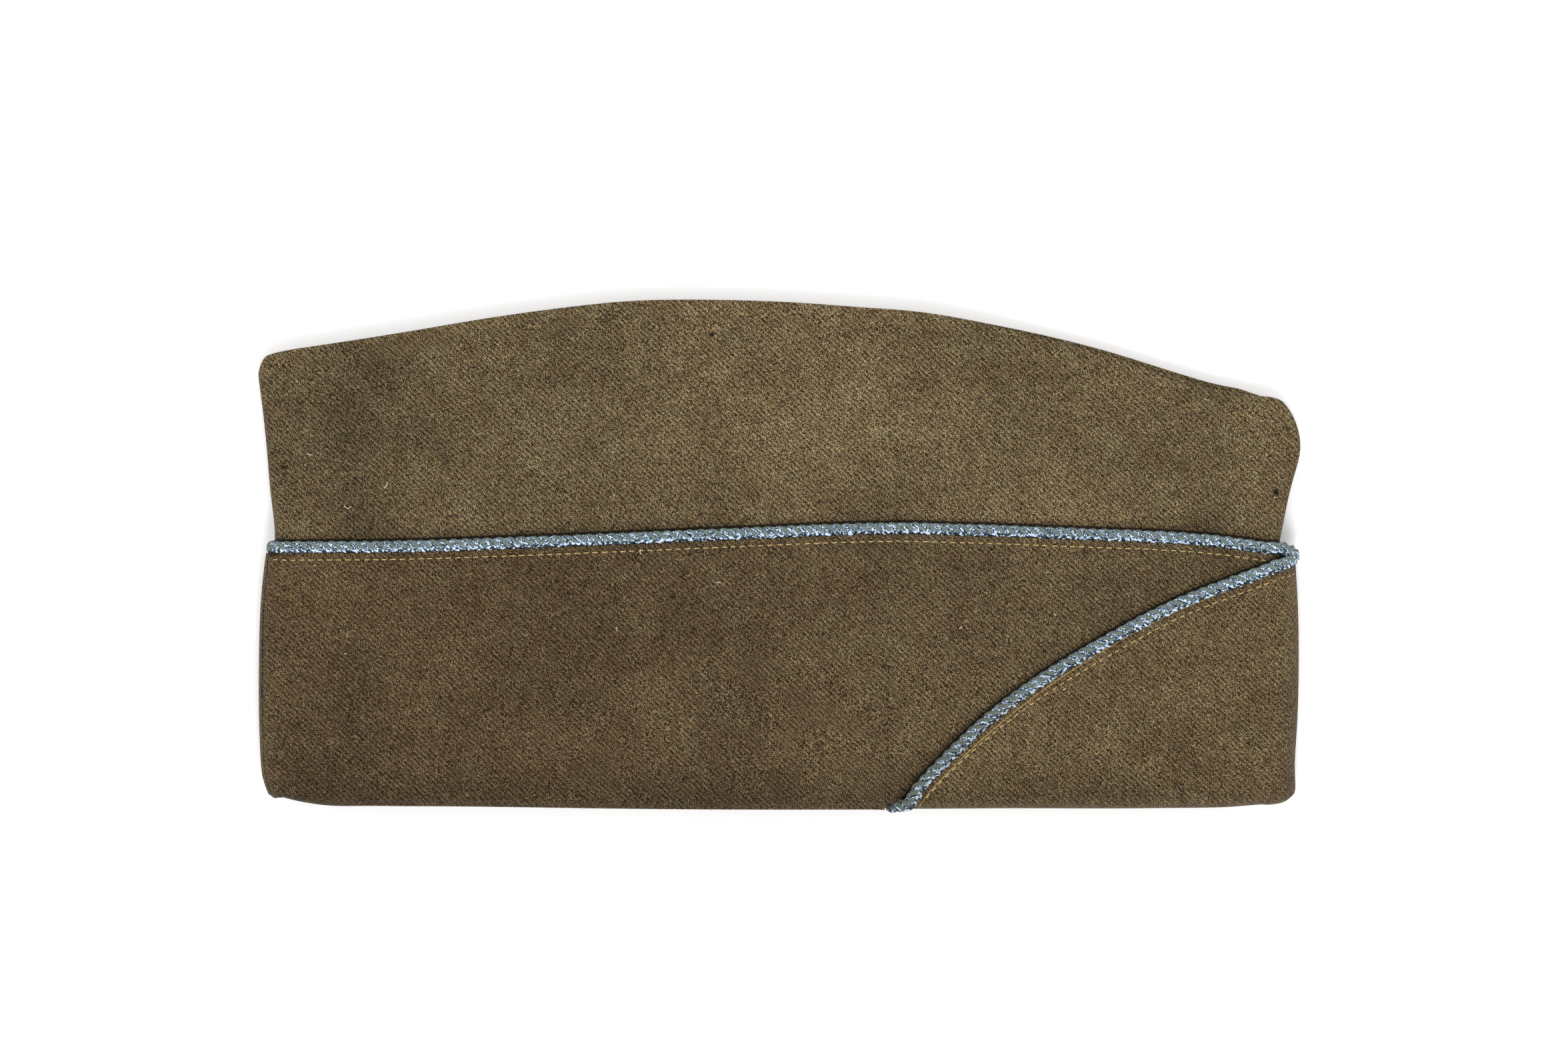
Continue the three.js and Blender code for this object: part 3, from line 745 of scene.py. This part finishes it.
def route_of(node_name):
    """Middle line of a CAD cord, from its back end, read ring by ring."""
    rings = bmesh.new()
    rings.from_mesh(frame["nodes"][node_name].data)
    bmesh.ops.remove_doubles(rings, verts=rings.verts, dist=SAME_PLACE)
    sharp = [e for e in rings.edges if len(e.link_faces) == 2 and e.calc_face_angle() > math.radians(65)]
    ends = {v for e in sharp for v in e.verts}
    first = min(ends, key=lambda v: v.co.x)
    ring = {first}
    growing = True
    while growing:
        more = {e.other_vert(v) for v in ring for e in sharp if v in e.verts} - ring
        ring |= more
        growing = bool(more)
    seen, route = set(), []
    while ring:
        route.append(sum((v.co for v in ring), Vector()) / len(ring))
        seen |= ring
        ring = {e.other_vert(v) for v in ring for e in v.link_edges} - seen
    rings.free()
    return route


def resampled(route, step):
    """Points a step apart on a smooth curve through the route, with their distances."""
    fine = []
    for i in range(len(route) - 1):
        before, start = route[max(i - 1, 0)], route[i]
        end, after = route[i + 1], route[min(i + 2, len(route) - 1)]
        for k in range(8):
            t = k / 8
            fine.append(
                0.5 * ((2 * start) + (end - before) * t + (2 * before - 5 * start + 4 * end - after) * t * t
                       + (3 * start - before - 3 * end + after) * t ** 3)
            )
    fine.append(route[-1].copy())
    points, left = [fine[0]], step
    for start, end in zip(fine, fine[1:]):
        length = (end - start).length
        while left <= length and length > 0:
            points.append(start.lerp(end, left / length))
            left += step
        left -= length
    return points


def frames_along(points):
    """A tangent, a side and an up vector at each point, turned as little as possible from one to the next."""
    frames = []
    up = Vector((0, 0, 1))
    for i, point in enumerate(points):
        ahead = points[min(i + 1, len(points) - 1)]
        behind = points[max(i - 1, 0)]
        tangent = (ahead - behind).normalized()
        up = (up - tangent * up.dot(tangent)).normalized()
        frames.append((tangent, tangent.cross(up), up))
    return frames


def tube_into(builder, points, radii, sides, material_index):
    """A closed round tube through the points, added to a mesh in the making."""
    frames = frames_along(points)
    rings = []
    for (_, side, up), point, radius in zip(frames, points, radii):
        ring = []
        for k in range(sides):
            turn = 2 * math.pi * k / sides
            spot = point + side * (radius * math.cos(turn)) + up * (radius * math.sin(turn))
            ring.append(builder.verts.new(spot))
        rings.append(ring)
    for low, high in zip(rings, rings[1:]):
        for k in range(sides):
            face = builder.faces.new((low[k], low[(k + 1) % sides], high[(k + 1) % sides], high[k]))
            face.material_index = material_index
            face.smooth = True
    builder.faces.new(list(reversed(rings[0]))).material_index = material_index
    builder.faces.new(rings[-1]).material_index = material_index


def mesh_from(builder, name, materials):
    bmesh.ops.recalc_face_normals(builder, faces=builder.faces)
    mesh = bpy.data.meshes.new(name)
    builder.to_mesh(mesh)
    builder.free()
    for material in materials:
        mesh.materials.append(material)
    return piece_from(name, mesh)


def snug(points, tree, radius, sink):
    """Moves a cord's middle line until the cord touches its cloth, evenly along its length."""
    shifts = []
    for point in points:
        near, _, _, distance = tree.find_nearest(point)
        shifts.append((near - point).normalized() * (distance - radius + sink))
    reach = 8
    moved = []
    for i, point in enumerate(points):
        close = shifts[max(i - reach, 0): i + reach + 1]
        moved.append(point + sum(close, Vector()) / len(close))
    return moved


def note(piece, name, values):
    """Gives each vertex of a piece a number, as an attribute."""
    piece.data.attributes.new(name, "FLOAT", "POINT").data.foreach_set("value", values)


def note_cord(piece, points, girth, radius):
    """Notes how far a cord's vertices are from its middle, and how far towards the photo's lower right."""
    tree = KDTree(len(points))
    for i, point in enumerate(points):
        tree.insert(point, i)
    tree.balance()
    frames = frames_along(points)
    distances, sides = [], []
    for vertex in piece.data.vertices:
        middle, nearest, distance = tree.find(vertex.co)
        tangent = frames[nearest][0]
        across = Vector((tangent.y, -tangent.x, 0))
        across = across.normalized() * (1 if across.x - 2 * across.y > 0 else -1)
        distances.append(distance / girth[nearest])
        sides.append((vertex.co - middle).dot(across) / radius)
    note(piece, FROM_MIDDLE, distances)
    note(piece, CORD_SIDE, sides)


def keep_off_table(piece):
    """Flattens what would press into the table."""
    for vertex in piece.data.vertices:
        vertex.co.z = max(vertex.co.z, TABLE_GAP)


def note_shade(cloth, points):
    """Notes how far a cloth's vertices are from the cord beside them, seen from above or below, for its
    painted shadow.
    """
    upper = sum(vertex.co.z for vertex in cloth.data.vertices) / len(cloth.data.vertices) > MIDDLE_HEIGHT
    beside = [point for point in points if (point.z > MIDDLE_HEIGHT) == upper]
    flat = KDTree(len(beside))
    for i, point in enumerate(beside):
        flat.insert((point.x, point.y, 0), i)
    flat.balance()
    distances = [flat.find((vertex.co.x, vertex.co.y, 0))[2] for vertex in cloth.data.vertices]
    note(cloth, FROM_CORD, distances)


def rounded(along, whole, radius):
    """The share of a cord's thickness at a distance along it: its two ends are round."""
    inside = min(along, whole - along) / radius
    return math.sqrt(1 - (1 - min(inside, 1)) ** 2) * 0.9 + 0.1


def twisted_cord(node_name, points, materials, piping):
    """A cord of grey strands with shiny threads laid between them, twisted round a dark core."""
    outer = piping.radius
    frames = frames_along(points)
    builder = bmesh.new()
    whole = (len(points) - 1) * piping.step
    taper = CORD_TAPER[node_name]
    girth = [
        CORD_GIRTH[node_name]
        * rounded(i * piping.step, whole, outer)
        * (1 - taper * eased(i * piping.step, whole - TAPER_LENGTH, whole))
        for i in range(len(points))
    ]
    # The core's near-black colour is painted shade in the gaps between the strands
    core = [outer * 0.7 * share for share in girth]
    tube_into(builder, points, core, 10, CORE)
    fibre = random.Random(RANDOM_SEED)
    unit_angle = 2 * math.pi / piping.units

    def strand(phase, orbit, radius, sides, material_index, waver, bunch):
        shift = fibre.random() * 100
        path, radii = [], []
        radius *= CORD_GIRTH[node_name]
        for i, (point, (_, side, up)) in enumerate(zip(points, frames)):
            along = i * piping.step
            drift = noise.noise(Vector((along / 0.0016, shift, 0))) * waver
            turn = phase + drift * 0.45 - 2 * math.pi * along / piping.lay
            reach = orbit * (1 + 0.1 * drift) * girth[i]
            path.append(point + side * (reach * math.cos(turn)) + up * (reach * math.sin(turn)))
            radii.append(radius * (1 + bunch * noise.noise(Vector((along / 0.0024, shift, 5)))))
        tube_into(builder, path, radii, sides, material_index)

    for unit in range(piping.units):
        start = unit * unit_angle
        orbit = outer * 1.06 - piping.matte_radius
        strand(start, orbit, piping.matte_radius, 8, MATTE, waver=0.4, bunch=0.25)
        for k in range(piping.threads):
            share = (k + 0.5) / piping.threads - 0.5
            phase = start + unit_angle / 2 + share * unit_angle * 0.6
            orbit = outer * (0.9 - 0.12 * abs(share)) - piping.thread_radius
            strand(phase, orbit, piping.thread_radius, 5, SHINY, waver=0.9, bunch=0.3)
    piece = mesh_from(builder, node_name + "_cord", materials)
    note_cord(piece, points, girth, outer)
    keep_off_table(piece)
    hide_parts(node_name)
    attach(piece, "root")
    return piece


def carried_on(points, bend, step):
    """A cord's middle line, carried on through the places of a bend past its solid's end."""
    further = [place_of(spot).to_3d() + Vector((0, 0, height)) for spot, height in bend]
    return resampled([*points[:-4:6], points[-4], *further], step)


def surface_tree(pieces):
    """The cloth pieces' faces as one tree to look places up in."""
    vertices, faces = [], []
    for piece in pieces:
        first = len(vertices)
        vertices.extend(vertex.co.copy() for vertex in piece.data.vertices)
        faces.extend([first + k for k in polygon.vertices] for polygon in piece.data.polygons)
    return BVHTree.FromPolygons(vertices, faces)


def beside_cord(points, tree, spacing, steepest):
    """Runs of places on the cloth, spaced beside a cord, with the cloth's normals."""
    runs = [[]]
    for point, (tangent, _, _) in zip(points, frames_along(points)):
        across = Vector((-tangent.y, tangent.x, 0)).normalized() * spacing(point)
        way = -1 if point.z > MIDDLE_HEIGHT else 1
        hits = []
        for spot in (point + across, point - across):
            place, normal, _, _ = tree.ray_cast(Vector((spot.x, spot.y, -0.1 * way)), Vector((0, 0, way)))
            if place is not None:
                hits.append((abs(place.z - point.z), place, normal))
        best = min(hits, key=lambda hit: hit[0], default=None)
        level = best is not None and best[0] < 5 * MM and abs(best[2].z) > steepest
        if level and runs[-1] and (runs[-1][-1][0] - best[1]).length > 2 * MM:
            runs.append([])
        if level:
            runs[-1].append(best[1:])
        elif runs[-1]:
            runs.append([])
    return [run for run in runs if len(run) > 8]


def stitch_run(builder, run, stitches, thread):
    """Stitches a pitch apart along one run of places on the cloth."""
    travelled = [0.0]
    for (start, _), (end, _) in zip(run, run[1:]):
        travelled.append(travelled[-1] + (end - start).length)

    def spot_at(along):
        index = min(range(len(travelled)), key=lambda i: abs(travelled[i] - along))
        index = min(index, len(run) - 2)
        gap = max(travelled[index + 1] - travelled[index], 1e-9)
        part = (along - travelled[index]) / gap
        return run[index][0].lerp(run[index + 1][0], part), run[index][1]

    for k in range(int((travelled[-1] - stitches.length) / stitches.pitch)):
        centre = (k + 0.36) * stitches.pitch + thread.uniform(-0.15, 0.15) * MM
        half = stitches.length / 2 * thread.uniform(0.88, 1.08)
        path, radii = [], []
        for share in (-1, -0.8, -0.4, 0, 0.4, 0.8, 1):
            place, normal = spot_at(centre + share * half)
            path.append(place + normal * (stitches.radius * (0.9 - 1.3 * share ** 4)))
            radii.append(stitches.radius * (1 - 0.2 * share ** 4))
        tube_into(builder, path, radii, 6, THREAD)
        # A dark tube at each end of the stitch: painted shade in its needle hole
        for way in (-1, 1):
            place, normal = spot_at(centre + way * (half + 0.5 * stitches.hole_radius))
            hole = [place - normal * stitches.hole_radius, place + normal * 0.03 * MM]
            tube_into(builder, hole, [stitches.hole_radius] * 2, 6, NEEDLE_HOLE)


def edge_thread(builder, run, radius):
    """One thin thread that shows along the cord's seam."""
    path, radii = [], []
    for i, (place, normal) in enumerate(run):
        wave = math.sin(i * 1.3)
        path.append(place + normal * radius * (0.1 + 1.0 * wave))
        radii.append(radius)
    tube_into(builder, path, radii, 6, SEAM_THREAD)


def cord_line(node_name, piping, wool):
    """A cord's middle line, lying close to its curtain's finished edge."""
    points = [pushed(point, node_name) for point in resampled(route_of(node_name), piping.step)]
    lifted = [point + Vector((0, 0, relief_at(point, wool.ripple))) for point in points]
    curtain = bpy.data.objects[node_name.replace("piping", "curtain") + "_cloth"]
    return snug(lifted, surface_tree([curtain]), piping.radius, piping.sink)


class PieceOperator:
    """What every operator of the cap shares."""

    bl_options = {"REGISTER", "UNDO"}

    @property
    def wool(self):
        return bpy.context.scene.cap_wool


class CAP_OT_cloth(PieceOperator, bpy.types.Operator):
    """Make the crown's panels, its gusset and the two curtains of wool twill"""

    bl_idname = "cap.cloth"
    bl_label = "Crown and curtains"

    def execute(self, context):
        # Painted shade colours: one for the crown, and a back and a front one for each curtain
        shade = self.wool.crown_shade
        crown = wool_material("crown_twill", self.wool, shade, shade)
        for node_name, cloth in CROWN_NODES.items():
            cloth_piece(node_name, cloth, crown, self.wool)
        shades = {
            "curtain_right": (self.wool.curtain_shade, self.wool.front_shade),
            "curtain_left": (self.wool.flap_shade, self.wool.flap_shade),
        }
        for node_name, cloth in CURTAIN_NODES.items():
            curtain = wool_material(node_name + "_twill", self.wool, *shades[node_name])
            cloth_piece(node_name, cloth, curtain, self.wool)
        return {"FINISHED"}


class CAP_OT_piping(PieceOperator, bpy.types.Operator):
    """Twist the two cords along the curtains' edges"""

    bl_idname = "cap.piping"
    bl_label = "Piping"

    def execute(self, context):
        piping = context.scene.cap_piping
        materials = (
            yarn_material("matte_yarn", tuple(piping.matte), piping),
            glint_material(piping),
            yarn_material("cord_core", tuple(piping.core)),
        )
        for node_name in CORD_NODES:
            points = cord_line(node_name, piping, self.wool)
            points = carried_on(points, CORD_BENDS[node_name], piping.step)
            twisted_cord(node_name, points, materials, piping)
            for cloth in CLOTH_UNDER_CORD[node_name]:
                shading = points[:-UNSHADED_STEPS] if CORD_TAPER[node_name] else points
                note_shade(bpy.data.objects[cloth], shading)
        # The other cloths get no painted shadow from a cord
        for name in ("curtain_left_cloth", "crown_top_gusset_cloth"):
            cloth = bpy.data.objects[name]
            note(cloth, FROM_CORD, [UNSHADED] * len(cloth.data.vertices))
        return {"FINISHED"}


class CAP_OT_stitches(PieceOperator, bpy.types.Operator):
    """Sew the rows of topstitching beside the piping"""

    bl_idname = "cap.stitches"
    bl_label = "Topstitching"

    thread_radius: length_prop("Seam thread radius", "Half the seam thread's thickness", 0.09)
    thread_end: length_prop("Seam thread end", "Where the seam thread goes under the cord", 124)

    def execute(self, context):
        stitches = context.scene.cap_stitches
        materials = (
            yarn_material("stitch_thread", tuple(stitches.thread)),
            # Needle holes are dark: painted shade in the holes
            yarn_material("needle_hole", srgb(44, 35, 22)),
            yarn_material("seam_thread", srgb(172, 146, 92)),
        )
        thread = random.Random(RANDOM_SEED)
        for cord in CORD_NODES:
            points = cord_line(cord, context.scene.cap_piping, self.wool)
            cloth = bpy.data.objects[cord.replace("piping", "curtain") + "_cloth"]
            tree = surface_tree([cloth])
            builder = bmesh.new()
            for run in beside_cord(points, tree, self.stitch_spacing, 0.25):
                stitch_run(builder, run, stitches, thread)
            if cord == "piping_left":
                diagonal = [p for p in points if p.z > MIDDLE_HEIGHT and p.x < self.thread_end]
                for run in beside_cord(diagonal, tree, self.thread_spacing, 0.3):
                    edge_thread(builder, run, self.thread_radius)
            piece = mesh_from(builder, cord.replace("piping", "topstitch"), materials)
            keep_off_table(piece)
            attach(piece, "root")
        for node_name, cut in {**CROWN_NODES, **CURTAIN_NODES}.items():
            cloth = bpy.data.objects[node_name.replace("_panel", "") + "_cloth"]
        return {"FINISHED"}

    def stitch_spacing(self, point):
        """The topstitching's distance from the cord's middle, which shrinks towards the diagonal's foot."""
        stitches = bpy.context.scene.cap_stitches
        further = STITCHES_FURTHER * eased(-point.y, *FURTHER_RUN)
        return stitches.from_cord + further - stitches.nearer * eased(-point.y, *NEARER_RUN)

    def thread_spacing(self, point):
        """The seam thread's distance from the cord's middle. It comes out from under the cord lower down."""
        return THREAD_NEAREST + THREAD_FURTHER * eased(-point.y, *THREAD_RUN)


class CAP_OT_lint(PieceOperator, bpy.types.Operator):
    """Lay the white lint on the cloth"""

    bl_idname = "cap.lint"
    bl_label = "Lint"

    radius: length_prop("Radius", "Half a fibre's thickness", 0.075)

    def execute(self, context):
        cloths = [piece for piece in bpy.data.objects if piece.name.endswith("_cloth")]
        tree = surface_tree(cloths)
        material = yarn_material("lint_fibre", srgb(222, 218, 205))
        builder = bmesh.new()
        for fibre in LINT:
            flat = place_of(fibre["at"])
            turn = math.radians(fibre["turn"])
            steps = 8
            path = []
            for _ in range(steps):
                place, normal, _, _ = tree.ray_cast(Vector((flat.x, flat.y, 0.1)), Vector((0, 0, -1)))
                if place is not None:
                    path.append(place + normal * self.radius * 1.2)
                flat = flat + Vector((math.cos(turn), math.sin(turn))) * (fibre["length"] * PIXEL / steps)
                turn += math.radians(fibre["curl"]) / steps
            tube_into(builder, path, [self.radius] * len(path), 5, THREAD)
        piece = mesh_from(builder, "lint", [material])
        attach(piece, "root")
        return {"FINISHED"}


class CAP_OT_stage(PieceOperator, bpy.types.Operator):
    """Set the floor, the soft lights and the camera over the cap"""

    bl_idname = "cap.stage"
    bl_label = "Stage"

    def execute(self, context):
        stage = context.scene.cap_stage
        deselect_all()
        bpy.ops.mesh.primitive_plane_add(size=stage.floor_side, location=(0, 0, 0))
        floor = context.object
        floor.name = "floor"
        nodes = Nodes("pale_floor")
        look = {"Base Color": tuple(stage.floor), "Roughness": 0.9, "Specular IOR Level": 0.1}
        floor.data.materials.append(nodes.finish(look))
        self.light("main_light", (0.2, -1.0, 1.5), 0.7, stage.main_power)
        self.light("fill_light", (-0.5, 1.2, 1.4), 1.4, stage.fill_power)
        world = bpy.data.worlds.new("studio")
        world.use_nodes = True
        world.node_tree.nodes["Background"].inputs["Color"].default_value = (1, 1, 1, 1)
        world.node_tree.nodes["Background"].inputs["Strength"].default_value = stage.sky
        context.scene.world = world
        context.scene.view_settings.view_transform = "Standard"
        self.camera(context, stage)
        return {"FINISHED"}

    def light(self, name, place, side, power):
        lamp = bpy.data.lights.new(name, "AREA")
        lamp.size = side
        lamp.energy = power
        light = bpy.data.objects.new(name, lamp)
        bpy.context.scene.collection.objects.link(light)
        aim = (Vector((0, 0, 0.01)) - Vector(place)).to_track_quat("-Z", "Y").to_matrix().to_4x4()
        light.matrix_world = Matrix.Translation(place) @ aim

    def camera(self, context, stage):
        lens = bpy.data.cameras.new("camera")
        camera = bpy.data.objects.new("camera", lens)
        context.scene.collection.objects.link(camera)
        centre = place_of((PHOTO_SIZE[0] / 2, PHOTO_SIZE[1] / 2))
        outline_height = 10 * MM
        camera.location = (centre.x, centre.y, stage.camera_height)
        lens.lens = lens.sensor_width * (stage.camera_height - outline_height) / (PHOTO_SIZE[0] * PIXEL)
        lens.clip_end = 20
        context.scene.camera = camera


class CAP_PT_panel(bpy.types.Panel):
    """Shows the cap's operators and their settings"""

    bl_idname = "CAP_PT_panel"
    bl_label = "Garrison cap"
    bl_space_type = "VIEW_3D"
    bl_region_type = "UI"
    bl_category = "Garrison cap"

    def draw(self, context):
        for operator in OPERATORS:
            self.layout.operator(operator.bl_idname)
        for name in GROUPS:
            settings = getattr(context.scene, name)
            for key in settings.__annotations__:
                self.layout.prop(settings, key)


GROUPS = {
    "cap_wool": CAP_PG_wool,
    "cap_piping": CAP_PG_piping,
    "cap_stitches": CAP_PG_stitches,
    "cap_stage": CAP_PG_stage,
}
OPERATORS = (CAP_OT_cloth, CAP_OT_piping, CAP_OT_stitches, CAP_OT_lint, CAP_OT_stage)


def register():
    for made in (*GROUPS.values(), *OPERATORS, CAP_PT_panel):
        bpy.utils.register_class(made)
    for name, group in GROUPS.items():
        setattr(bpy.types.Scene, name, PointerProperty(type=group))


def unregister():
    for name in GROUPS:
        delattr(bpy.types.Scene, name)
    for made in (CAP_PT_panel, *reversed(OPERATORS), *reversed(GROUPS.values())):
        bpy.utils.unregister_class(made)


def main():
    register()
    bpy.ops.cap.cloth()
    bpy.ops.cap.piping()
    bpy.ops.cap.stitches()
    bpy.ops.cap.lint()
    bpy.ops.cap.stage()


if __name__ == "__main__":
    main()
